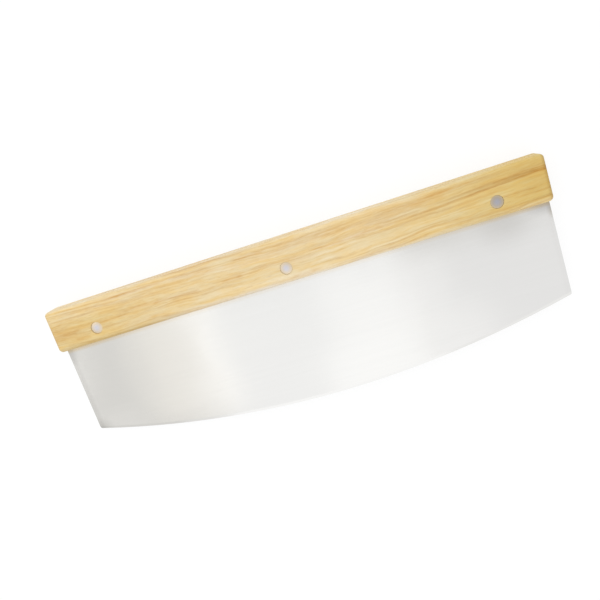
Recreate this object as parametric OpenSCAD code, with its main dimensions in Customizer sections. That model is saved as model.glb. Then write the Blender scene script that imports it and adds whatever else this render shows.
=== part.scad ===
// Rocking pizza knife: a straight wooden bar handle and a wide steel blade with a curved cutting edge.
// The knife lies on its back: X runs along the handle, Y from the cutting edge to the palm edge, and Z
// through the thickness. The origin is the middle of its outline, on the back face of the handle.
// The drawing itself has y = 0 on the handle's lower edge and z = 0 in the middle of the sheet.

/* [Handle] */
// Length of the handle, end to end
handle_l = 350; // [250:1:450]
// Height of the handle, from its lower edge to its palm edge
handle_h = 30.5; // [27:0.5:45]
// Thickness of the handle, from its front face to its back face
handle_t = 20; // [14:0.5:30]
// Radius that rounds every edge and corner of the handle
handle_edge_r = 3; // [1:0.5:5]

/* [Blade] */
// Thickness of the steel sheet
blade_t = 1.5; // [0.8:0.1:2.5]
// How far each side of the blade stops short of the handle's end
blade_inset = 1.5; // [0:0.5:10]
// Depth of the blade below the handle at its two sides
blade_side_d = 65; // [40:0.5:100]
// How much deeper the blade is at its middle than at its sides
blade_rise = 22.5; // [8:0.5:60]
// Radius of the two lower corners of the blade
blade_corner_r = 1; // [0.5:0.25:4]
// Height of the ground bevel on each face of the cutting edge
bevel_h = 2; // [1:0.25:5]
// Thickness of steel left at the cutting edge
edge_t = 0.15; // [0.1:0.05:0.4]

/* [Tang and kerf] */
// Height of the tang, the part of the blade that is inside the handle
tang_h = 19.5; // [17:0.5:22]
// Gap between the tang and each wall of the kerf
kerf_side_gap = 0.05; // [0.02:0.01:0.3]
// Gap between the top of the tang and the root of the kerf
kerf_root_gap = 0.5; // [0.2:0.1:1.5]

/* [Rivets] */
// Distance from each end of the handle to the centre of the outer rivet
rivet_end_d = 34; // [15:1:60]
// Height of the rivet centres above the handle's lower edge
rivet_y = 10; // [8:0.5:12]
// Diameter of the rivet heads
head_d = 8.3; // [7:0.1:10]
// Thickness of the rivet heads at their middle
head_t = 1.8; // [1.2:0.1:2.5]
// How much the crown of a head stands above the head's rim
crown_h = 0.35; // [0.1:0.05:0.8]
// How far the crown of a head lies below the face of the handle
head_recess = 0.05; // [0:0.05:0.5]
// Gap between the rim of a head and its counterbore
head_gap = 0.1; // [0.05:0.05:0.3]
// Outer diameter of the barrel on the front half of a rivet
barrel_d = 5; // [4.4:0.1:6]
// Gap round the barrel in the wood and in the blade
barrel_gap = 0.1; // [0.05:0.05:0.3]
// Distance from the end of the barrel to the back counterbore's floor
barrel_end_gap = 1.5; // [0.5:0.1:3]
// Diameter of the pin on the back half of a rivet
pin_d = 3.4; // [2.4:0.1:3.6]
// Gap between the pin and the wall of the barrel's bore
pin_gap = 0.01; // [0.01:0.01:0.05]
// Distance from the end of the pin to the end of the barrel's bore
pin_end_gap = 0.8; // [0.3:0.1:2]
// Solid length of the barrel between its bore and its head
barrel_root = 1; // [0.5:0.1:2]
// Chamfer on the nose of the pin
pin_nose = 0.4; // [0.1:0.05:0.8]

/* [Hidden] */

// Depth of the blade below the handle at its middle, and the width between its sides
blade_mid_d = blade_side_d + blade_rise;
blade_w = handle_l - 2 * blade_inset;

// The cutting edge is one arc through the two lower corners and the lowest point
edge_curve_r = ((blade_w / 2) ^ 2 + blade_rise ^ 2) / (2 * blade_rise);
edge_curve_y = edge_curve_r - blade_mid_d;

// Centre of the fillet between the side of the blade and the arc
fillet_x = blade_w / 2 - blade_corner_r;
fillet_y = edge_curve_y - sqrt((edge_curve_r - blade_corner_r) ^ 2 - fillet_x ^ 2);

// Kerf that the tang slides into
kerf_w = blade_t + 2 * kerf_side_gap;
kerf_h = tang_h + kerf_root_gap;

// Rivets: places along the handle, the counterbores and the holes, and what passes through them
outer_rivet_x = handle_l / 2 - rivet_end_d;
rivet_places = [-outer_rivet_x, 0, outer_rivet_x];
counterbore_d = head_d + 2 * head_gap;
counterbore_h = head_t + head_recess;
barrel_hole_d = barrel_d + 2 * barrel_gap;
seat_z = handle_t / 2 - counterbore_h;
barrel_l = 2 * seat_z - barrel_end_gap;
bore_d = pin_d + 2 * pin_gap;
bore_l = barrel_l - barrel_root;
pin_l = 2 * seat_z - barrel_root - pin_end_gap;
crown_r = ((head_d / 2) ^ 2 + crown_h ^ 2) / (2 * crown_h);

// Height of the whole knife above and below the origin
half_outline_y = (handle_h + blade_mid_d) / 2;

// How far a cutting tool runs past the surface that it opens
overcut = 1;

// Segments round the small radii, the rivets, the crowns and the long cutting edge
edge_fn = 64;
rivet_fn = 96;
crown_fn = 720;
curve_fn = 1440;

// Colours of the wood, the blade and the rivets
wood = [0.88, 0.74, 0.50];
steel = [0.83, 0.83, 0.82];
aluminium = [0.74, 0.75, 0.78];

// Moves the drawing so that the knife lies on the back of its handle, centred on the origin
module laid_down() {
    translate([0, half_outline_y - handle_h, handle_t / 2]) children();
}

// Bar centred on the origin with every edge and corner rounded by radius r:
// three crossed slabs, a round rod along each edge and a ball in each corner
module rounded_bar(size, r) {
    core = size - 2 * [r, r, r];
    cube([size.x, core.y, core.z], center = true);
    cube([core.x, size.y, core.z], center = true);
    cube([core.x, core.y, size.z], center = true);
    for (y = [-core.y, core.y] / 2, z = [-core.z, core.z] / 2)
        translate([0, y, z])
            rotate([0, 90, 0])
                cylinder(r = r, h = core.x, center = true, $fn = edge_fn);
    for (x = [-core.x, core.x] / 2, z = [-core.z, core.z] / 2)
        translate([x, 0, z])
            rotate([90, 0, 0])
                cylinder(r = r, h = core.y, center = true, $fn = edge_fn);
    for (x = [-core.x, core.x] / 2, y = [-core.y, core.y] / 2)
        translate([x, y, 0])
            cylinder(r = r, h = core.z, center = true, $fn = edge_fn);
    for (x = [-core.x, core.x] / 2, y = [-core.y, core.y] / 2, z = [-core.z, core.z] / 2)
        translate([x, y, z])
            sphere(r = r, $fn = edge_fn);
}

// Saw cut along the whole lower edge, from end to end
module kerf() {
    translate([-handle_l / 2 - overcut, -overcut, -kerf_w / 2])
        cube([handle_l + 2 * overcut, kerf_h + overcut, kerf_w]);
}

// Hole for the barrel through both cheeks, with a counterbore for a head in each face
module rivet_hole() {
    cylinder(d = barrel_hole_d, h = handle_t, center = true, $fn = rivet_fn);
    for (face = [0, 180])
        rotate([face, 0, 0])
            translate([0, 0, seat_z])
                cylinder(d = counterbore_d, h = counterbore_h + overcut, $fn = rivet_fn);
}

// Wooden handle: one bar, sawn to take the tang and drilled for the rivets
module handle() {
    color(wood)
        difference() {
            translate([0, handle_h / 2, 0])
                rounded_bar([handle_l, handle_h, handle_t], handle_edge_r);
            kerf();
            for (x = rivet_places)
                translate([x, rivet_y, 0])
                    rivet_hole();
        }
}

// Waste outside the fillet of the right lower corner, from one point of tangency to the other
module corner_waste() {
    tangent = [fillet_x, fillet_y - edge_curve_y] / (edge_curve_r - blade_corner_r);
    arc_end = [0, edge_curve_y] + tangent * (edge_curve_r + overcut);
    side_x = blade_w / 2 + overcut;
    difference() {
        polygon([[fillet_x, fillet_y], [side_x, fillet_y], [side_x, arc_end.y], arc_end]);
        translate([fillet_x, fillet_y])
            circle(r = blade_corner_r, $fn = edge_fn);
    }
}

// Flat pattern of the sheet above the cutting edge, with its rivet holes
module sheet_outline() {
    difference() {
        translate([-blade_w / 2, -blade_mid_d - overcut])
            square([blade_w, blade_mid_d + overcut + tang_h]);
        corner_waste();
        mirror([1, 0])
            corner_waste();
        for (x = rivet_places)
            translate([x, rivet_y])
                circle(d = barrel_hole_d, $fn = rivet_fn);
    }
}

// Half section of the ground edge: the sheet's two faces, and a bevel from each to the cutting edge
module ground_edge_section() {
    bevel_start = edge_curve_r - bevel_h;
    polygon([
        [0, -blade_t / 2],
        [bevel_start, -blade_t / 2],
        [edge_curve_r, -edge_t / 2],
        [edge_curve_r, edge_t / 2],
        [bevel_start, blade_t / 2],
        [0, blade_t / 2]
    ]);
}

// Steel blade: the sheet, cut to its curve by a disc whose rim is ground from both faces
module blade() {
    color(steel)
        intersection() {
            translate([0, 0, -blade_t / 2])
                linear_extrude(blade_t)
                    sheet_outline();
            translate([0, edge_curve_y, 0])
                rotate_extrude($fn = curve_fn)
                    ground_edge_section();
        }
}

// Half section of a rivet head that seats on y = 0, with a shallow spherical crown
module head_section() {
    intersection() {
        square([head_d / 2, head_t]);
        translate([0, head_t - crown_r])
            circle(r = crown_r, $fn = crown_fn);
    }
}

// Front half of a rivet: the head, and a barrel that goes down through the wood and the tang
module rivet_barrel(x) {
    color(aluminium)
        translate([x, rivet_y, seat_z])
            rotate_extrude($fn = rivet_fn) {
                head_section();
                difference() {
                    translate([0, -barrel_l])
                        square([barrel_d / 2, barrel_l]);
                    translate([0, -barrel_l - overcut])
                        square([bore_d / 2, bore_l + overcut]);
                }
            }
}

// Back half of a rivet: the head, and a pin that is pressed up into the barrel
module rivet_pin(x) {
    color(aluminium)
        translate([x, rivet_y, -seat_z])
            rotate([180, 0, 0])
                rotate_extrude($fn = rivet_fn) {
                    head_section();
                    polygon([
                        [0, 0],
                        [0, -pin_l],
                        [pin_d / 2 - pin_nose, -pin_l],
                        [pin_d / 2, -pin_l + pin_nose],
                        [pin_d / 2, 0]
                    ]);
                }
}

laid_down() handle();
laid_down() blade();
laid_down() rivet_barrel(rivet_places[0]);  // rivet_barrel_left
laid_down() rivet_barrel(rivet_places[1]);  // rivet_barrel_middle
laid_down() rivet_barrel(rivet_places[2]);  // rivet_barrel_right
laid_down() rivet_pin(rivet_places[0]);  // rivet_pin_left
laid_down() rivet_pin(rivet_places[1]);  // rivet_pin_middle
laid_down() rivet_pin(rivet_places[2]);  // rivet_pin_right
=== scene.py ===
"""Looks of the rocking pizza knife: hardwood handle, brushed steel blade and metal rivets on a white floor.

The knife lies on the back of its handle. X runs along the handle, Y from the cutting edge to the palm edge,
and Z up. Places and lengths on its surfaces are in millimetres, and those of the studio in metres.
"""
import math

import bpy
import numpy as np
from mathutils import Matrix, Vector


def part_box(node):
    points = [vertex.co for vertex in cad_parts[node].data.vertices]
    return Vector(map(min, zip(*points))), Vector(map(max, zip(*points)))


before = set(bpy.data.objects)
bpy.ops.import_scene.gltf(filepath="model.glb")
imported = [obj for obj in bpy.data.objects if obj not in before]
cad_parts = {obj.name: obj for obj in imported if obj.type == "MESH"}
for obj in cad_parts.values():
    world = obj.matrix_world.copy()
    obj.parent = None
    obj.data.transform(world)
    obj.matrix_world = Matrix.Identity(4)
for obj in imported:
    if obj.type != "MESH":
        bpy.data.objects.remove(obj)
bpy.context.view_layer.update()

MM = 0.001

# Driving dimensions in millimetres, read back from the frame
handle_low, handle_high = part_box("handle")
blade_low, blade_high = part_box("blade")
rivet_low, rivet_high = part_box("rivet_barrel_right")
HANDLE_END_X = handle_high.x / MM
HANDLE_LOWER_Y = handle_low.y / MM
HANDLE_HEIGHT = (handle_high.y - handle_low.y) / MM
HANDLE_TOP_Z = handle_high.z / MM
SHEET_MIDDLE_Z = (blade_low.z + blade_high.z) / 2 / MM
BLADE_SIDE_X = blade_high.x / MM
RIVET_PITCH = (rivet_low.x + rivet_high.x) / 2 / MM
RIVET_Y = (rivet_low.y + rivet_high.y) / 2 / MM

# Camera: where it looks, how far away it stands, how it leans away from straight above and rolls, its lens
# and sensor, and the nearest distance that it shows
AIM = Vector((0.0002, 0.0130, 0.0100))
CAMERA_DISTANCE = 0.4388
CAMERA_BACK = Vector((0.16164, 0.20868, 0.96453))
CAMERA_ROLL = math.radians(18.95)
LENS_MM = 38.3
SENSOR_MM = 36.0
NEAREST_SEEN = 0.01

# Growth layers of the wood: how they sag towards the middle, per millimetre squared, how they tilt through
# the thickness, how far they wander and ripple, and how far the placed streaks ripple
GRAIN_SAG = 0.000167
GRAIN_TILT = 0.35
GRAIN_WANDER = 7.0
GRAIN_RIPPLE = 1.6
STREAK_RIPPLE = 1.4

# Noise fields of the wood: lengths of their features along X, Y and Z, detail and roughness
WOOD_FIELDS = {
    "broad": ((110, 4.5, 8.0), 2.0, 0.50),
    "layer": ((75, 1.7, 3.2), 3.0, 0.50),
    "fleck": ((6, 0.75, 1.2), 2.0, 0.60),
    "fibre": ((5, 0.26, 0.36), 3.0, 0.60),
    "pore": ((5, 0.30, 0.30), 2.0, 0.50),
    "pore_belt": ((60, 2.2, 4.0), 1.0, 0.50),
    "hue": ((24, 4.5, 6.0), 3.0, 0.65),
    "layer_belt": ((70, 7.0, 9.0), 1.0, 0.50),
}

# Colours of the wood from its darkest to its palest tone: the tone and its display colour of 0 to 255
DARK_TONE = (0.10, (209, 166, 108))
MIDDLE_TONE = (0.52, (237, 211, 161))
PALE_TONE = (0.92, (247, 228, 192))

# Tone that the noise fields vary, and how much each does. The layers are weak and strong in turn, in belts,
# and one belt turns into the next between two values of their noise
MEAN_TONE = 0.55
BROAD_WEIGHT = 0.8
LAYER_WEIGHTS = (0.45, 1.2)
FLECK_WEIGHT = 0.36
FIBRE_WEIGHT = 0.20
BELT_EDGES = (0.35, 0.65)

# Pores: their display colour, how much of it they take, their strengths in turn, in belts, and how deep they
# are next to the fibres
PORE_COLOUR = (170, 118, 66)
PORE_STRENGTH = 0.25
PORE_BELT_STRENGTHS = (0.3, 1.0)
PORE_RELIEF = 1.2

# Surface of the wood: roughness between the fibres and on them, strength and depth of its bumps, and how much
# it mirrors
WOOD_ROUGHNESS = (0.62, 0.46)
WOOD_BUMPS = (0.25, 0.12)
WOOD_SPECULAR = 0.35

# Shades that multiply the wood's colour: in cool and warm patches, and in the placed streaks
COOL_PATCH = (0.985, 1.028, 1.08, 1.0)
WARM_PATCH = (1.0, 0.935, 0.75, 1.0)
DARK_STREAK = (0.78, 0.57, 0.33, 1.0)
PALE_STREAK = (1.10, 1.17, 1.32, 1.0)

# Streaks placed in the wood: start and end along the handle, height above its lower edge at the start, rise
# per millimetre, half width, and how much of the shade they take
STREAK_TERMS = ["Start", "End", "Height", "Rise", "Width", "Depth"]
DARK_STREAKS = [
    (-210, -146, 11.0, 0.000, 6.0, 0.52),
    (-200, -156, 16.4, 0.000, 2.2, 0.42),
    (-182, -124, 12.0, 0.000, 1.6, 0.28),
    (-168, -122, 27.9, 0.000, 0.8, 0.20),
    (-160, -146, 6.0, 0.000, 1.6, 0.40),
    (-156, -126, 9.2, 0.000, 1.4, 0.28),
    (-146, -110, 13.0, 0.000, 0.8, 0.55),
    (-140, -60, 27.4, 0.000, 0.5, 0.33),
    (-138, -96, 27.0, 0.000, 1.0, 0.16),
    (-134, -84, 6.0, 0.000, 1.7, 0.28),
    (-134, -80, 26.8, 0.000, 1.1, 0.44),
    (-130, -106, 27.4, 0.000, 0.5, 0.50),
    (-130, -80, 15.0, 0.000, 1.7, 0.36),
    (-114, -98, 16.0, 0.000, 0.6, 0.50),
    (-97, -80, 14.4, 0.000, 0.7, 0.45),
    (-94, -20, 23.8, 0.000, 1.4, 0.24),
    (-86, -60, 13.6, 0.000, 1.3, 0.65),
    (-82, -44, 26.4, 0.000, 1.4, 0.50),
    (-46, -28, 14.2, 0.000, 1.4, 0.45),
    (-46, 8, 21.0, 0.000, 1.6, 0.22),
    (-42, 46, 27.2, 0.000, 1.0, 0.22),
    (-36, -8, 25.7, 0.000, 0.9, 0.50),
    (-34, 112, 23.4, 0.000, 1.8, 0.39),
    (-24, 16, 15.7, 0.000, 0.6, 0.50),
    (-12, 50, 26.3, -0.010, 1.2, 0.32),
    (-6, 26, 13.4, 0.000, 2.2, 0.28),
    (-2, 24, 3.0, 0.000, 1.6, 0.30),
    (16, 64, 16.4, -0.010, 0.8, 0.60),
    (34, 76, 18.2, 0.000, 1.4, 0.26),
    (40, 118, 16.9, 0.020, 0.8, 0.45),
    (44, 118, 28.2, 0.000, 1.6, 0.22),
    (62, 120, 25.0, 0.035, 1.0, 0.50),
    (84, 114, 24.4, 0.000, 1.4, 0.34),
    (94, 250, 18.3, 0.034, 0.7, 0.60),
    (98, 150, 27.0, 0.000, 1.6, 0.30),
    (98, 190, 4.8, -0.012, 0.8, 0.55),
    (104, 182, 27.4, 0.000, 1.4, 0.20),
    (122, 250, 22.1, 0.000, 2.2, 0.60),
    (134, 250, 23.3, 0.000, 0.7, 0.42),
    (142, 168, 11.9, 0.000, 0.7, 0.55),
    (148, 196, 24.8, 0.000, 1.3, 0.26),
    (150, 200, 9.2, -0.010, 0.8, 0.50),
    (152, 230, 14.0, 0.000, 7.0, 0.22),
]
PALE_STREAKS = [
    (-200, -150, 25.2, 0.000, 1.6, 0.40),
    (-160, -104, 24.2, 0.000, 1.8, 0.66),
    (-108, -86, 9.0, 0.000, 1.4, 0.26),
    (-108, -62, 21.0, 0.000, 1.6, 0.30),
    (-90, -58, 18.2, 0.000, 1.5, 0.35),
    (-44, -20, 15.0, 0.000, 1.6, 0.46),
    (-24, 2, 18.2, 0.000, 1.5, 0.55),
    (20, 70, 21.2, 0.000, 1.4, 0.22),
    (26, 140, 6.4, 0.000, 2.1, 0.70),
    (36, 112, 20.8, 0.000, 1.8, 0.72),
    (76, 124, 11.4, 0.000, 1.6, 0.30),
    (104, 162, 16.4, 0.000, 2.8, 0.60),
    (126, 162, 18.8, 0.000, 1.3, 0.34),
    (128, 166, 24.4, 0.000, 1.2, 0.24),
    (144, 196, 2.8, 0.000, 2.4, 0.45),
]

# Deeper colour towards the handle's right end: shade, and the places between which it fades in
RIGHT_END_SHADE = (0.84, 0.765, 0.44, 1.0)
RIGHT_END_SPAN = (40, 190)

# Deeper colour towards the left end, mostly on the lower part: shade, the places and the heights between
# which it weakens, and what is left of it above
LEFT_END_SHADE = (0.96, 0.94, 0.80, 1.0)
LEFT_END_SPAN = (-160, -60)
LEFT_END_HEIGHTS = (16, 23)
LEFT_END_UPPER_STRENGTH = 0.15

# End grain: shade, the depths below the end face where it starts and where it is full, and its strength at
# the left and right ends
END_GRAIN_SHADE = (0.76, 0.70, 0.58, 1.0)
END_GRAIN_START = 3.2
END_GRAIN_FULL = 0.2
END_GRAIN_STRENGTHS = (0.35, 0.85)

# Painted sheen on the palm edge, paler and bluer as light on its rounding: its tint, and the depths below the
# edge where it starts and where it is full
PALM_SHEEN_TINT = (0.96, 1.0, 1.14, 1.0)
PALM_START = 1.6
PALM_FULL = 0.2

# Painted light and shade on the lower edge, for the light that the blade bounces onto it: the heights between
# which it fades out, the distances from the middle of the thickness between which its rounded corners start,
# the tint at its left end, and the tints that this turns into, each with the two places along the handle
# between which it does
LOWER_EDGE_HEIGHTS = (0.4, 4.6)
LOWER_EDGE_CORNERS = (4.5, 7.5)
LOWER_EDGE_FIRST_LIGHT = (0.84, 0.86, 0.95, 1.0)
LOWER_EDGE_LIGHTS = [
    (-172, -154, (0.80, 0.77, 0.72, 1.0)),
    (-110, -60, (0.96, 1.01, 1.28, 1.0)),
    (-60, 30, (1.06, 1.18, 1.60, 1.0)),
    (66, 104, (0.99, 1.05, 1.30, 1.0)),
    (128, 172, (1.11, 1.24, 2.05, 1.0)),
]

# Brushed steel: its darkest and palest lines, as display colours of 0 to 255, its roughness and how much that
# varies with handling, and the strength and depth of its long waves and of its brushing
STEEL_DARK = (210.3, 208.6, 204.3)
STEEL_PALE = (211.7, 210.0, 205.7)
STEEL_ROUGHNESS = 0.115
STEEL_HANDLING = 0.03
STEEL_WAVES = (1.0, 0.5)
STEEL_BRUSHING = (0.45, 0.02)

# Painted reflection of the handle's wood, with painted shade, on the blade along the handle: shade, the
# depths below the handle between which it fades out, the distances from the middle between which it grows
# stronger, and its strengths there
HANDLE_REFLECTION_SHADE = (0.95, 0.79, 0.55, 1.0)
HANDLE_REFLECTION_DEPTHS = (1.5, 4.5)
HANDLE_REFLECTION_SPAN = (90, 165)
HANDLE_REFLECTION_STRENGTHS = (0.30, 0.85)

# Painted shade on the blade, in soft patches under the handle's right end and in three corners: centre, radii
# and shade
STEEL_SHADE_PATCHES = [
    ((143, 22), (27, 23), (0.895, 0.890, 0.885, 1.0)),
    ((173, 27), (20, 9), (0.70, 0.69, 0.69, 1.0)),
    ((174, 22), (4, 8), (0.72, 0.68, 0.62, 1.0)),
    ((-173, 26), (8, 14), (0.82, 0.82, 0.82, 1.0)),
    ((-173.5, -36), (13, 10), (0.82, 0.82, 0.81, 1.0)),
]

# Painted shade along the blade's sides: shade, the distances from the side where it starts and where it is
# full, and its strength at the left and right sides
SIDE_PAINTED_SHADE = (0.93, 0.93, 0.93, 1.0)
BORDER_START = 5.0
BORDER_FULL = 2.0
BORDER_STRENGTHS = (1.0, 0.25)

# Rivets: colours of a head's middle and rim, the rim's warm colour a painted reflection of the wood round it,
# the radii between which one turns into the other, roughness and how much it varies with handling, and the
# strength and depth of the turned rings
RIVET_MIDDLE = (0.573, 0.558, 0.591, 1.0)
RIVET_RIM_REFLECTION = (0.65, 0.535, 0.37, 1.0)
RIVET_RIM_RADII = (0.4, 4.2)
RIVET_ROUGHNESS = 0.32
RIVET_HANDLING = 0.15
RIVET_RINGS = (0.3, 0.03)

# The right rivet is darker, and a little less so at its rim: shade, the places between which it fades in, the
# radii between which it weakens, and its strength at the rim
DARKER_RIVET_SHADE = (0.66, 0.665, 0.675, 1.0)
DARKER_RIVET_SPAN = (60, 120)
DARKER_RIVET_RADII = (2.4, 4.2)
DARKER_RIVET_RIM_STRENGTH = 0.7

# Studio: the grey that the surroundings light with, plain white, and the colour of a lamp without a tint
WORLD_LIGHT = (0.78, 0.78, 0.78, 1.0)
WHITE = (1.0, 1.0, 1.0, 1.0)
NEUTRAL = (1.0, 1.0, 1.0)

# Floor: how many spokes and rings its points lie on, its radius, colour and roughness. It shows as plain
# white by a share and at a strength, and for the rest as it is lit, so that it keeps the shadow
FLOOR_SPOKES = 96
FLOOR_RINGS = 12
FLOOR_RADIUS = 6.0
FLOOR_COLOUR = (0.92, 0.92, 0.92, 1.0)
FLOOR_ROUGHNESS = 0.9
FLOOR_WHITE_SHARE = 0.78
FLOOR_WHITE_STRENGTH = 1.06

# Level panels above the knife that its steel mirrors: height, span along X, span along Y, radiance and colour
CEILING_PANELS = {
    "middle_panel": (1.01, (-0.445, 0.072), (-1.30, -0.12), 0.343, (0.94, 1.0, 1.12)),
    "bright_panel": (1.04, (-0.174, 0.244), (-1.18, -0.352), 0.144, NEUTRAL),
    "bright_end_panel": (1.06, (-0.121, 0.175), (-0.363, -0.183), 0.109, NEUTRAL),
    "right_panel": (1.07, (0.078, 0.936), (-1.36, -0.18), 0.199, (0.93, 1.0, 1.20)),
    "left_panel": (1.10, (-0.632, -0.418), (-0.453, 0.58), 0.232, (1.07, 1.0, 0.87)),
    "low_left_panel": (1.05, (-0.891, -0.664), (-0.547, -0.36), 0.109, NEUTRAL),
    "far_left_panel": (1.01, (-1.172, -0.77), (-0.292, 0.41), 0.461, NEUTRAL),
}

# Tilted panels round the knife: place, the point that they face, size, radiance, colour, and whether the
# steel mirrors them
TILTED_PANELS = {
    "key_panel": ((-0.60, 0.90, 1.10), (0, 0, 0), (2.00, 1.20), 0.405, NEUTRAL, True),
    "back_panel": ((0.10, 1.50, 0.55), (0, 0, 0), (2.00, 0.70), 0.8, NEUTRAL, False),
    "front_left_panel": ((-0.70, -1.20, 0.73), (-0.70, 0, 0), (0.16, 0.50), 0.15, (0.95, 1.0, 1.10), True),
    "front_panel": ((-0.20, -1.20, 0.73), (-0.20, 0, 0), (0.84, 0.50), 0.45, (0.95, 1.0, 1.10), True),
    "front_right_panel": ((0.56, -1.20, 0.73), (0.56, 0, 0), (0.68, 0.50), 0.27, (0.95, 1.0, 1.12), True),
}


def srgb(red, green, blue):
    """Linear colour with alpha from a display colour of 0 to 255."""
    display = np.array([red, green, blue]) / 255
    linear = np.where(display <= 0.04045, display / 12.92, ((display + 0.055) / 1.055) ** 2.4)
    return (*linear.tolist(), 1.0)


def add(tree, kind, inputs=None, **settings):
    """Adds one shader node. An input is a number, a vector, a colour or another node's socket."""
    node = tree.nodes.new("ShaderNode" + kind)
    for name, value in settings.items():
        setattr(node, name, value)
    for key, value in (inputs or {}).items():
        if isinstance(value, bpy.types.NodeSocket):
            tree.links.new(value, node.inputs[key])
        else:
            node.inputs[key].default_value = value
    return node


def calc(tree, operation, first, second=0.0, third=0.0):
    """One Math node, and its result."""
    return add(tree, "Math", {0: first, 1: second, 2: third}, operation=operation).outputs[0]


def ramp(tree, value, low, high, start=0.0, end=1.0):
    """Smooth step of value from low to high, as start to end."""
    step = add(
        tree,
        "MapRange",
        {"Value": value, "From Min": low, "From Max": high, "To Min": start, "To Max": end},
        interpolation_type="SMOOTHSTEP",
    )
    return step.outputs["Result"]


def blend(tree, factor, first, second, mode="MIX"):
    """Mix of two colours, and its result. A factor past 1 counts as 1."""
    node = add(tree, "Mix", {0: factor, 6: first, 7: second}, data_type="RGBA", blend_type=mode)
    return node.outputs[2]


def shaded(tree, mask, colour, shade):
    """The colour, multiplied by the shade where the mask is 1."""
    return blend(tree, mask, colour, shade, "MULTIPLY")


def distance(tree, first, second):
    """Square root of the sum of two squares."""
    square = calc(tree, "MULTIPLY_ADD", first, first, calc(tree, "MULTIPLY", second, second))
    return calc(tree, "SQRT", square)


def soft_spot(tree, x, y, centre, radii):
    """1 at the centre of an ellipse on the face, falling softly to 0 at its rim."""
    along = calc(tree, "DIVIDE", calc(tree, "SUBTRACT", x, centre[0]), radii[0])
    across = calc(tree, "DIVIDE", calc(tree, "SUBTRACT", y, centre[1]), radii[1])
    return ramp(tree, distance(tree, along, across), 0.0, 1.0, 1.0, 0.0)


def sided(tree, x, strengths):
    """The first strength on the left half of the knife and the second on its right half."""
    return ramp(tree, x, -1, 1, *strengths)


def stretched_noise(tree, place, lengths, detail=2.0, roughness=0.5):
    """Noise whose features are about the given lengths along X, Y and Z."""
    scaled = add(tree, "Mapping", {"Vector": place, "Scale": [1 / length for length in lengths]})
    terms = {"Vector": scaled.outputs[0], "Scale": 1.0, "Detail": detail, "Roughness": roughness}
    return add(tree, "TexNoise", terms).outputs["Fac"]


def bump(tree, height, strength, depth, base=None):
    """Normal of a height whose full depth is in millimetres, on top of a base normal where one is given."""
    terms = {"Height": height, "Strength": strength, "Distance": depth * MM}
    if base is not None:
        terms["Normal"] = base
    return add(tree, "Bump", terms).outputs["Normal"]


def millimetres(tree):
    """The point on the object in millimetres, in the frame's axes."""
    place = add(tree, "TexCoord").outputs["Object"]
    return add(tree, "Mapping", {"Vector": place, "Scale": [1 / MM] * 3}).outputs[0]


def new_material(name):
    """Empty node material, with its tree and Principled shader."""
    material = bpy.data.materials.new(name)
    material.use_nodes = True
    tree = material.node_tree
    return material, tree, tree.nodes["Principled BSDF"]


def connect(tree, shader, colour, roughness, normal):
    """Feeds what changes over the surface to the shader."""
    tree.links.new(colour, shader.inputs["Base Color"])
    tree.links.new(roughness, shader.inputs["Roughness"])
    tree.links.new(normal, shader.inputs["Normal"])


def new_group(name, inputs, outputs):
    """Empty node group, with its input and output nodes.

    Each input is a name, a socket type and a default value or None, and each output a name and a socket type.
    """
    group = bpy.data.node_groups.new(name, "ShaderNodeTree")
    for label, kind, default in inputs:
        socket = group.interface.new_socket(name=label, in_out="INPUT", socket_type=kind)
        if default is not None:
            socket.default_value = default
    for label, kind in outputs:
        group.interface.new_socket(name=label, in_out="OUTPUT", socket_type=kind)
    return group, group.nodes.new("NodeGroupInput"), group.nodes.new("NodeGroupOutput")


def handling_marks():
    """Soft cloudy smears and a few fine stray scratches, shared by every metal surface."""
    group, given, result = new_group(
        "handling_marks",
        [("Place", "NodeSocketVector", None), ("Cloud Size", "NodeSocketFloat", 30.0)],
        [("Cloud", "NodeSocketFloat"), ("Scratch", "NodeSocketFloat")],
    )
    place = given.outputs["Place"]
    size = calc(group, "DIVIDE", 1.0, given.outputs["Cloud Size"])
    cloud = add(group, "TexNoise", {"Vector": place, "Scale": size, "Detail": 4.0, "Roughness": 0.55})
    turned = add(group, "Mapping", {"Vector": place, "Rotation": [0, 0, 0.5], "Scale": [0.02, 1.6, 1.6]})
    line = add(group, "TexNoise", {"Vector": turned.outputs[0], "Scale": 1.0, "Detail": 1.0})
    group.links.new(cloud.outputs["Fac"], result.inputs["Cloud"])
    group.links.new(ramp(group, line.outputs["Fac"], 0.70, 0.76), result.inputs["Scratch"])
    return group


def brushed_lines():
    """Fine parallel brushing along one axis: a height and a light and dark variation."""
    group, given, result = new_group(
        "brushed_lines",
        [("Place", "NodeSocketVector", None)],
        [("Height", "NodeSocketFloat"), ("Tone", "NodeSocketFloat")],
    )
    place = given.outputs["Place"]
    fine = stretched_noise(group, place, (45, 0.22, 0.22), detail=3.0, roughness=0.65)
    coarse = stretched_noise(group, place, (120, 1.6, 1.6), detail=3.0, roughness=0.6)
    height = calc(group, "MULTIPLY_ADD", coarse, 0.4, fine)
    tone = calc(group, "MULTIPLY_ADD", coarse, 0.6, calc(group, "MULTIPLY", fine, 0.4))
    group.links.new(height, result.inputs["Height"])
    group.links.new(tone, result.inputs["Tone"])
    return group


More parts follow.
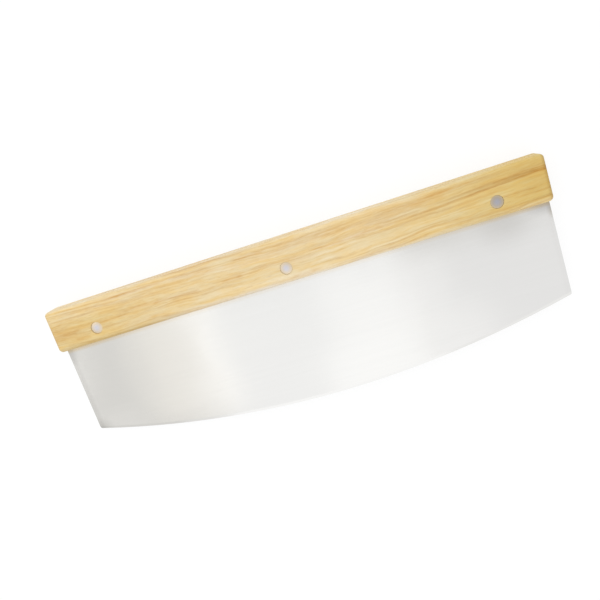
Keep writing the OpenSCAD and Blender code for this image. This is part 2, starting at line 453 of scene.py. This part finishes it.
def growth_streak():
    """Mask of one dark or pale streak in the wood, times its depth.

    Across the streak the mask is one over the square of one plus d squared, where d is the distance from the
    streak's slanting line in half widths. Along the streak it is a smooth step of five times the product of
    the distances to its two ends, over its length squared, so it fades in and out over about a quarter.
    """
    group, given, result = new_group(
        "growth_streak",
        [(name, "NodeSocketFloat", 0.0) for name in ["Along", "Across", *STREAK_TERMS]],
        [("Mask", "NodeSocketFloat")],
    )
    along, across, start, end, height, rise, width, depth = given.outputs[:8]
    past_start = calc(group, "SUBTRACT", along, start)
    before_end = calc(group, "SUBTRACT", end, along)
    line = calc(group, "MULTIPLY_ADD", past_start, rise, height)
    offset = calc(group, "DIVIDE", calc(group, "SUBTRACT", across, line), width)
    band = calc(group, "DIVIDE", 1.0, calc(group, "MULTIPLY_ADD", offset, offset, 1.0))
    span = calc(group, "SUBTRACT", end, start)
    inside = calc(group, "MULTIPLY", calc(group, "MULTIPLY", past_start, before_end), 5.0)
    fade = calc(group, "DIVIDE", inside, calc(group, "MULTIPLY", span, span))
    mask = calc(group, "MULTIPLY", calc(group, "MULTIPLY", band, band), ramp(group, fade, 0.0, 1.0))
    group.links.new(calc(group, "MULTIPLY", mask, depth), result.inputs["Mask"])
    return group


def wood_grain(tree, place, x, z):
    """The point lifted so that level noise follows the growth layers, and the ripple and tilt in that lift.

    The lift is the ripple and the wander, two slow noises of a set height, plus the tilt, which grows with
    the depth below the front face, less the sag, which grows with x squared.
    """
    sag = calc(tree, "MULTIPLY", calc(tree, "MULTIPLY", x, x), -GRAIN_SAG)
    tilt = calc(tree, "MULTIPLY", calc(tree, "SUBTRACT", HANDLE_TOP_Z, z), GRAIN_TILT)
    wander = calc(tree, "SUBTRACT", stretched_noise(tree, place, (70, 16, 16)), 0.5)
    ripple = calc(tree, "SUBTRACT", stretched_noise(tree, place, (22, 7, 7)), 0.5)
    lift = calc(tree, "MULTIPLY_ADD", ripple, GRAIN_RIPPLE, calc(tree, "ADD", sag, tilt))
    lift = calc(tree, "MULTIPLY_ADD", wander, GRAIN_WANDER, lift)
    upward = add(tree, "CombineXYZ", {"Y": lift}).outputs[0]
    return add(tree, "VectorMath", {0: place, 1: upward}).outputs[0], ripple, tilt


def wood_tones(tree, field):
    """Colour of the growth layers, flecks and fibres, turned warmer and cooler in patches."""
    layer_weight = ramp(tree, field["layer_belt"], *BELT_EDGES, *LAYER_WEIGHTS)
    tone = MEAN_TONE
    weights = {"broad": BROAD_WEIGHT, "layer": layer_weight, "fleck": FLECK_WEIGHT, "fibre": FIBRE_WEIGHT}
    for name, weight in weights.items():
        tone = calc(tree, "MULTIPLY_ADD", calc(tree, "SUBTRACT", field[name], 0.5), weight, tone)
    colours = add(tree, "ValToRGB", {"Fac": tone})
    stops = colours.color_ramp.elements
    stops.new(MIDDLE_TONE[0])
    for stop, (position, colour) in zip(stops, (DARK_TONE, MIDDLE_TONE, PALE_TONE)):
        stop.position = position
        stop.color = srgb(*colour)
    patch = blend(tree, ramp(tree, field["hue"], 0.30, 0.70), COOL_PATCH, WARM_PATCH)
    return shaded(tree, 1.0, colours.outputs["Color"], patch)


def streaks_mask(tree, streak, streaks, x, across):
    """Sum of the masks of a list of streaks."""
    total = 0.0
    for terms in streaks:
        sockets = {"Along": x, "Across": across, **dict(zip(STREAK_TERMS, terms))}
        mask = add(tree, "Group", sockets, node_tree=streak).outputs["Mask"]
        total = calc(tree, "ADD", total, mask)
    return total


def wood_ends(tree, colour, x, above):
    """Deeper colour towards both ends of the handle, and dark grain on its end faces."""
    colour = shaded(tree, ramp(tree, x, *RIGHT_END_SPAN), colour, RIGHT_END_SHADE)
    left = ramp(tree, x, *LEFT_END_SPAN, 1.0, 0.0)
    left = calc(tree, "MULTIPLY", left, ramp(tree, above, *LEFT_END_HEIGHTS, 1.0, LEFT_END_UPPER_STRENGTH))
    colour = shaded(tree, left, colour, LEFT_END_SHADE)
    from_middle = calc(tree, "ABSOLUTE", x)
    end_grain = ramp(tree, from_middle, HANDLE_END_X - END_GRAIN_START, HANDLE_END_X - END_GRAIN_FULL)
    end_grain = calc(tree, "MULTIPLY", end_grain, sided(tree, x, END_GRAIN_STRENGTHS))
    return shaded(tree, end_grain, colour, END_GRAIN_SHADE)


def painted_edge_light(tree, colour, x, above, z):
    """Painted sheen on the palm edge; painted light and shade, changing along the handle, on the lower
    rounded corners.
    """
    # Painted sheen: the palm edge paler and bluer, as light on its rounding
    palm = ramp(tree, above, HANDLE_HEIGHT - PALM_START, HANDLE_HEIGHT - PALM_FULL)
    colour = shaded(tree, palm, colour, PALM_SHEEN_TINT)
    # Painted light and shade on the lower rounded corners: darker at the left end, paler and bluer to the
    # right
    from_sheet = calc(tree, "ABSOLUTE", calc(tree, "SUBTRACT", z, SHEET_MIDDLE_Z))
    lower = ramp(tree, above, *LOWER_EDGE_HEIGHTS, 1.0, 0.0)
    lower = calc(tree, "MULTIPLY", lower, ramp(tree, from_sheet, *LOWER_EDGE_CORNERS))
    lower_light = LOWER_EDGE_FIRST_LIGHT
    for start, end, tint in LOWER_EDGE_LIGHTS:
        lower_light = blend(tree, ramp(tree, x, start, end), lower_light, tint)
    return shaded(tree, lower, colour, lower_light)


def wood_finish(streak):
    """Pale hardwood: growth layers, flecks, fibres and pores, placed streaks, deeper ends and painted light
    on the edges.

    The growth layers sag towards the middle of the handle. The placed streaks follow the tilt and the ripple,
    but not the sag.
    """
    material, tree, shader = new_material("handle_wood")
    place = millimetres(tree)
    x, y, z = add(tree, "SeparateXYZ", {0: place}).outputs
    above = calc(tree, "SUBTRACT", y, HANDLE_LOWER_Y)
    grain, ripple, tilt = wood_grain(tree, place, x, z)
    field = {name: stretched_noise(tree, grain, *terms) for name, terms in WOOD_FIELDS.items()}
    colour = wood_tones(tree, field)

    across = calc(tree, "MULTIPLY_ADD", ripple, STREAK_RIPPLE, calc(tree, "ADD", above, tilt))
    broken = ramp(tree, field["fleck"], 0.25, 0.65, 1.15, 0.75)
    for streaks, shade in ((DARK_STREAKS, DARK_STREAK), (PALE_STREAKS, PALE_STREAK)):
        mask = streaks_mask(tree, streak, streaks, x, across)
        colour = shaded(tree, calc(tree, "MULTIPLY", mask, broken), colour, shade)

    pore_belt = ramp(tree, field["pore_belt"], *BELT_EDGES, *PORE_BELT_STRENGTHS)
    pores = calc(tree, "MULTIPLY", ramp(tree, field["pore"], 0.58, 0.72), pore_belt)
    colour = blend(tree, calc(tree, "MULTIPLY", pores, PORE_STRENGTH), colour, srgb(*PORE_COLOUR))
    colour = wood_ends(tree, colour, x, above)
    colour = painted_edge_light(tree, colour, x, above, z)

    relief = calc(tree, "MULTIPLY_ADD", pores, -PORE_RELIEF, field["fibre"])
    roughness = ramp(tree, field["fibre"], 0.2, 0.8, *WOOD_ROUGHNESS)
    connect(tree, shader, colour, roughness, bump(tree, relief, *WOOD_BUMPS))
    shader.inputs["Specular IOR Level"].default_value = WOOD_SPECULAR
    return material


def steel_finish(marks, lines):
    """Satin stainless sheet, brushed along the blade and faintly wavy.

    Painted reflection of the wood and painted shade along the handle, painted shade in patches and at each
    side.
    """
    material, tree, shader = new_material("blade_brushed_steel")
    place = millimetres(tree)
    x, y = add(tree, "SeparateXYZ", {0: place}).outputs[:2]
    brushed = add(tree, "Group", {"Place": place}, node_tree=lines).outputs
    handled = add(tree, "Group", {"Place": place, "Cloud Size": 45.0}, node_tree=marks).outputs
    tone = ramp(tree, brushed["Tone"], 0.3, 0.7)
    colour = blend(tree, tone, srgb(*STEEL_DARK), srgb(*STEEL_PALE))

    from_middle = calc(tree, "ABSOLUTE", x)
    # Painted reflection of the wood, with painted shade, on the blade just under the handle, stronger to the
    # ends
    handle_reflection = ramp(tree, calc(tree, "SUBTRACT", HANDLE_LOWER_Y, y), *HANDLE_REFLECTION_DEPTHS, 1.0, 0.0)
    handle_reflection = calc(tree, "MULTIPLY", handle_reflection, ramp(tree, from_middle, *HANDLE_REFLECTION_SPAN, *HANDLE_REFLECTION_STRENGTHS))
    colour = shaded(tree, handle_reflection, colour, HANDLE_REFLECTION_SHADE)
    # Painted shade in soft patches, broken up by the handling marks
    cloudy = ramp(tree, handled["Cloud"], 0.3, 0.7, 0.85, 1.15)
    for centre, radii, shade in STEEL_SHADE_PATCHES:
        shade_patch = calc(tree, "MULTIPLY", soft_spot(tree, x, y, centre, radii), cloudy)
        colour = shaded(tree, shade_patch, colour, shade)
    # Painted shade along the blade's sides, stronger at the left
    side_shade = ramp(tree, from_middle, BLADE_SIDE_X - BORDER_START, BLADE_SIDE_X - BORDER_FULL)
    side_shade = calc(tree, "MULTIPLY", side_shade, sided(tree, x, BORDER_STRENGTHS))
    colour = shaded(tree, side_shade, colour, SIDE_PAINTED_SHADE)

    waves = bump(tree, stretched_noise(tree, place, (60, 60, 60), detail=1.0), *STEEL_WAVES)
    roughness = calc(tree, "MULTIPLY_ADD", handled["Cloud"], STEEL_HANDLING, STEEL_ROUGHNESS)
    roughness = calc(tree, "MULTIPLY_ADD", handled["Scratch"], STEEL_HANDLING, roughness)
    connect(tree, shader, colour, roughness, bump(tree, brushed["Height"], *STEEL_BRUSHING, waves))
    shader.inputs["Metallic"].default_value = 1.0
    return material


def rivet_finish(marks):
    """Plain metal with fine rings turned round each rivet's axis, a painted reflection at its rim, and a
    darker right rivet.
    """
    material, tree, shader = new_material("rivet_turned_metal")
    place = millimetres(tree)
    x, y = add(tree, "SeparateXYZ", {0: place}).outputs[:2]
    number = calc(tree, "ROUND", calc(tree, "DIVIDE", x, RIVET_PITCH))
    from_x = calc(tree, "SUBTRACT", x, calc(tree, "MULTIPLY", number, RIVET_PITCH))
    radius = distance(tree, from_x, calc(tree, "SUBTRACT", y, RIVET_Y))
    rings = add(tree, "TexNoise", {"W": radius, "Scale": 5.0, "Detail": 2.0}, noise_dimensions="1D")
    handled = add(tree, "Group", {"Place": place, "Cloud Size": 6.0}, node_tree=marks).outputs

    # Painted reflection of the wood: each head turns warmer towards its rim
    colour = blend(tree, ramp(tree, radius, *RIVET_RIM_RADII), RIVET_MIDDLE, RIVET_RIM_REFLECTION)
    # The right rivet darker in colour, a little less so at its rim
    darker_rivet = ramp(tree, x, *DARKER_RIVET_SPAN)
    darker_rivet = calc(tree, "MULTIPLY", darker_rivet, ramp(tree, radius, *DARKER_RIVET_RADII, 1.0, DARKER_RIVET_RIM_STRENGTH))
    colour = shaded(tree, darker_rivet, colour, DARKER_RIVET_SHADE)
    roughness = calc(tree, "MULTIPLY_ADD", handled["Cloud"], RIVET_HANDLING, RIVET_ROUGHNESS)
    connect(tree, shader, colour, roughness, bump(tree, rings.outputs["Fac"], *RIVET_RINGS))
    shader.inputs["Metallic"].default_value = 1.0
    return material


def camera():
    """Camera at the photograph's angle: nearly above the blade, leaning to the handle's side and rolled."""
    back = CAMERA_BACK.normalized()
    level = (-back).cross(Vector((0, 1, 0))).normalized()
    upright = level.cross(-back)
    right = level * math.cos(CAMERA_ROLL) - upright * math.sin(CAMERA_ROLL)
    up = upright * math.cos(CAMERA_ROLL) + level * math.sin(CAMERA_ROLL)
    data = bpy.data.cameras.new("camera")
    data.lens = LENS_MM
    data.sensor_width = SENSOR_MM
    data.clip_start = NEAREST_SEEN
    item = bpy.data.objects.new("camera", data)
    bpy.context.scene.collection.objects.link(item)
    place = AIM + back * CAMERA_DISTANCE
    columns = [(*right, 0), (*up, 0), (*back, 0), (*place, 1)]
    item.matrix_world = Matrix(columns).transposed()
    bpy.context.scene.camera = item


def soft_box(name, place, aim, size, radiance, colour, mirrored=True):
    """Rectangular studio panel at a place, facing a point.

    A radiance of 1 is as bright as white paper in full light. A panel that is not mirrored lights the
    surfaces, but does not show in the steel.
    """
    data = bpy.data.lights.new(name, "AREA")
    data.shape = "RECTANGLE"
    data.size, data.size_y = size
    data.energy = radiance * math.pi * size[0] * size[1]
    data.color = colour
    item = bpy.data.objects.new(name, data)
    bpy.context.scene.collection.objects.link(item)
    item.location = place
    item.rotation_euler = (Vector(place) - Vector(aim)).to_track_quat("Z", "Y").to_euler()
    item.visible_glossy = mirrored


def lamps():
    """The level panels, each over the middle of its spans, and the tilted ones."""
    for name, (height, span_x, span_y, radiance, colour) in CEILING_PANELS.items():
        middle = (sum(span_x) / 2, sum(span_y) / 2, height)
        below = (middle[0], middle[1], 0)
        size = (span_x[1] - span_x[0], span_y[1] - span_y[0])
        soft_box(name, middle, below, size, radiance, colour)
    for name, terms in TILTED_PANELS.items():
        soft_box(name, *terms)


def shown_rays(tree):
    """1 on the rays that show a surface, straight or in metal and glass, and 0 on those that light one."""
    path = add(tree, "LightPath").outputs
    straight_or_glossy = calc(tree, "MAXIMUM", path["Is Camera Ray"], path["Is Glossy Ray"])
    return calc(tree, "MAXIMUM", straight_or_glossy, path["Is Transmission Ray"])


def surroundings():
    """Even pale studio: white where the camera looks, a little dimmer as light."""
    world = bpy.data.worlds.new("studio")
    world.use_nodes = True
    bpy.context.scene.world = world
    tree = world.node_tree
    lighting = tree.nodes["Background"]
    lighting.inputs["Color"].default_value = WORLD_LIGHT
    white = add(tree, "Background", {"Color": WHITE, "Strength": 1.0})
    mixed = add(tree, "MixShader", {0: shown_rays(tree), 1: lighting.outputs[0], 2: white.outputs[0]})
    tree.links.new(mixed.outputs[0], tree.nodes["World Output"].inputs["Surface"])


def floor():
    """Round white floor at z = 0.

    Its points lie where spokes cross rings, at x = r cos a and y = r sin a. The radius r of a ring is the
    floor's radius times the square of the ring's number over the number of rings. Quads join the rings, and
    one face fills the innermost.
    """
    turns = np.arange(FLOOR_SPOKES) * 2 * np.pi / FLOOR_SPOKES
    shares = np.linspace(0, 1, FLOOR_RINGS + 1)[1:]
    angle, share = np.meshgrid(turns, shares, indexing="ij")
    radius = FLOOR_RADIUS * share**2
    points = np.stack([radius * np.cos(angle), radius * np.sin(angle), 0 * radius], -1).reshape(-1, 3)
    corner = np.arange(FLOOR_SPOKES * FLOOR_RINGS).reshape(FLOOR_SPOKES, FLOOR_RINGS)
    after = np.roll(corner, -1, axis=0)
    quads = np.stack([corner[:, :-1], corner[:, 1:], after[:, 1:], after[:, :-1]], -1).reshape(-1, 4)
    hub = corner[:, 0]
    mesh = bpy.data.meshes.new("floor")
    mesh.from_pydata(points.tolist(), [], quads.tolist() + [hub.tolist()])
    item = bpy.data.objects.new("floor", mesh)
    bpy.context.scene.collection.objects.link(item)
    mesh.materials.append(floor_finish())


def floor_finish():
    """Matt white that shows mostly as plain white, and for the rest as it is lit, with the knife's shadow."""
    material, tree, shader = new_material("floor_white")
    shader.inputs["Base Color"].default_value = FLOOR_COLOUR
    shader.inputs["Roughness"].default_value = FLOOR_ROUGHNESS
    white = add(tree, "Emission", {"Color": WHITE, "Strength": FLOOR_WHITE_STRENGTH})
    share = calc(tree, "MULTIPLY", shown_rays(tree), FLOOR_WHITE_SHARE)
    shown = add(tree, "MixShader", {0: share, 1: shader.outputs[0], 2: white.outputs[0]})
    tree.links.new(shown.outputs[0], tree.nodes["Material Output"].inputs["Surface"])
    return material


def dress():
    """Gives each CAD node its finish."""
    marks = handling_marks()
    lines = brushed_lines()
    finishes = {"handle": wood_finish(growth_streak()), "blade": steel_finish(marks, lines)}
    rivet = rivet_finish(marks)
    for name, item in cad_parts.items():
        item.material_slots[0].material = finishes.get(name, rivet)


camera()
surroundings()
floor()
dress()
lamps()

bpy.context.scene.view_settings.view_transform = "Standard"
